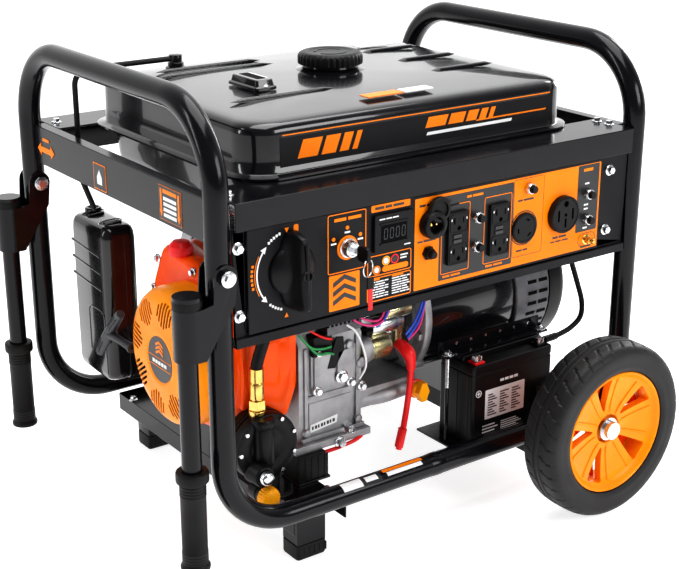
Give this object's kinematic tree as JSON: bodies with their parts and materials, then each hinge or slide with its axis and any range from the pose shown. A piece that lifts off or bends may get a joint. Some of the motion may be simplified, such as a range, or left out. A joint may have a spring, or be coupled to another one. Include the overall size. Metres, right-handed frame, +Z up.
{
  "type": "portable generator",
  "caption": "Open-frame portable generator: tube frame, top fuel tank, outlet panel, engine and alternator in line, solid wheels and fold-down handles.",
  "frame": {"origin": "on the ground, under the middle of the whole machine", "axes": "+Z up; X along the crankshaft with the recoil starter at -X and the wheels at +X; the control panel faces -Y"},
  "size_m": [0.779, 0.772, 0.6619],
  "materials": {
    "black_paint": "semi-gloss black powder coat",
    "matte_black": "satin black moulded plastic",
    "rubber": "black rubber",
    "tyre": "solid black tyre with a shallow tread",
    "orange_plastic": "bright orange moulded plastic",
    "orange_paint": "deep orange painted sheet steel",
    "cast_aluminium": "rough cast aluminium",
    "dark_aluminium": "dark satin cast aluminium",
    "zinc": "zinc-plated steel",
    "hot_steel": "heat-darkened steel",
    "grey_plastic": "dark grey ribbed plastic",
    "red_rubber": "red insulated cable",
    "yellow_plastic": "amber yellow moulded plastic"
  },
  "bodies": {
    "chassis": {"frame_left_tube": "black_paint", "frame_right_tube": "black_paint", "left_beam": "black_paint", "right_beam": "black_paint", "front_beam": "black_paint", "rear_beam": "black_paint", "engine_crossmember": "black_paint", "alternator_crossmember": "black_paint", "fuel_tank": "black_paint", "control_panel": "black_paint", "stator": "black_paint", "battery_tray": "black_paint", "fuel_gauge": "matte_black", "dc_outlet": "matte_black", "duplex_outlet_left": "matte_black", "duplex_outlet_right": "matte_black", "twist_lock_outlet": "matte_black", "range_outlet": "matte_black", "air_cleaner": "matte_black", "end_cover": "matte_black", "battery": "matte_black", "gas_regulator": "matte_black", "tank_vent": "matte_black", "front_foot": "rubber", "rear_foot": "rubber", "battery_cable": "rubber", "gas_hose": "rubber", "engine_mounts": "rubber", "alternator_mounts": "rubber", "recoil_cover": "orange_plastic", "fan_shroud": "orange_paint", "crankcase": "cast_aluminium", "cylinder_head": "cast_aluminium", "end_bell": "dark_aluminium", "front_axle": "zinc", "rear_axle": "zinc", "starter_motor": "zinc", "muffler": "hot_steel", "starter_lead": "red_rubber"},
    "front_handle": {"front_handle": "black_paint", "front_grip": "rubber"},
    "rear_handle": {"rear_handle": "black_paint", "rear_grip": "rubber"},
    "front_wheel": {"front_tire": "tyre", "front_rim": "orange_plastic"},
    "rear_wheel": {"rear_tire": "tyre", "rear_rim": "orange_plastic"},
    "fuel_cap": {"fuel_cap": "matte_black"},
    "selector_knob": {"selector_knob": "matte_black"},
    "ignition_key": {"ignition_key": "zinc"},
    "dc_breaker": {"dc_breaker": "matte_black"},
    "ac_breaker_left": {"ac_breaker_left": "matte_black"},
    "ac_breaker_right": {"ac_breaker_right": "matte_black"},
    "twist_lock_breaker": {"twist_lock_breaker": "matte_black"},
    "main_breaker_upper": {"main_breaker_upper": "matte_black"},
    "main_breaker_lower": {"main_breaker_lower": "matte_black"},
    "recoil_handle": {"recoil_handle": "grey_plastic"},
    "primer_button": {"primer_button": "zinc"},
    "oil_cap": {"oil_cap": "yellow_plastic"},
    "crank_train": {"crank_train": "dark_aluminium"}
  },
  "joints": [
    {"name": "front_handle_fold", "type": "hinge", "parent": "chassis", "child": "front_handle", "pos_m": [-0.32384, -0.261, 0.449], "axis": [0, 1, 0], "range_deg": [0, 90]},
    {"name": "rear_handle_fold", "type": "hinge", "parent": "chassis", "child": "rear_handle", "pos_m": [-0.32384, 0.261, 0.449], "axis": [0, 1, 0], "range_deg": [0, 90]},
    {"name": "front_wheel_spin", "type": "hinge", "parent": "chassis", "child": "front_wheel", "pos_m": [0.24891, -0.3545, 0.13], "axis": [0, 1, 0], "continuous": true},
    {"name": "rear_wheel_spin", "type": "hinge", "parent": "chassis", "child": "rear_wheel", "pos_m": [0.24891, 0.3545, 0.13], "axis": [0, 1, 0], "continuous": true},
    {"name": "fuel_cap_turn", "type": "hinge", "parent": "chassis", "child": "fuel_cap", "pos_m": [0.03691, 0.018, 0.628], "axis": [0, 0, 1], "range_deg": [0, 90]},
    {"name": "selector_knob_turn", "type": "hinge", "parent": "chassis", "child": "selector_knob", "pos_m": [-0.22809, -0.29, 0.44], "axis": [0, 1, 0], "range_deg": [-90, 90]},
    {"name": "ignition_key_turn", "type": "hinge", "parent": "chassis", "child": "ignition_key", "pos_m": [-0.14509, -0.3, 0.452], "axis": [0, 1, 0], "range_deg": [-40, 40]},
    {"name": "dc_breaker_trip", "type": "slide", "parent": "chassis", "child": "dc_breaker", "axis": [0, -1, 0], "range_m": [0, 0.004]},
    {"name": "ac_breaker_left_trip", "type": "slide", "parent": "chassis", "child": "ac_breaker_left", "axis": [0, -1, 0], "range_m": [0, 0.004]},
    {"name": "ac_breaker_right_trip", "type": "slide", "parent": "chassis", "child": "ac_breaker_right", "axis": [0, -1, 0], "range_m": [0, 0.004]},
    {"name": "twist_lock_breaker_trip", "type": "slide", "parent": "chassis", "child": "twist_lock_breaker", "axis": [0, -1, 0], "range_m": [0, 0.004]},
    {"name": "main_breaker_upper_trip", "type": "slide", "parent": "chassis", "child": "main_breaker_upper", "axis": [0, -1, 0], "range_m": [0, 0.004]},
    {"name": "main_breaker_lower_trip", "type": "slide", "parent": "chassis", "child": "main_breaker_lower", "axis": [0, -1, 0], "range_m": [0, 0.004]},
    {"name": "recoil_pull", "type": "slide", "parent": "chassis", "child": "recoil_handle", "axis": [0, 1, 0], "range_m": [0, 0.09], "stiffness_N_per_m": 60, "springref_m": -0.05},
    {"name": "primer_press", "type": "slide", "parent": "chassis", "child": "primer_button", "axis": [0, -1, 0], "range_m": [0, 0.004], "stiffness_N_per_m": 100, "springref_m": -0.002},
    {"name": "oil_cap_turn", "type": "hinge", "parent": "chassis", "child": "oil_cap", "pos_m": [0.05691, -0.18, 0.171], "axis": [0, 1, 0], "range_deg": [0, 90]},
    {"name": "crank_spin", "type": "hinge", "parent": "chassis", "child": "crank_train", "pos_m": [0.02491, -0.06, 0.266], "axis": [1, 0, 0], "continuous": true}
  ]
}
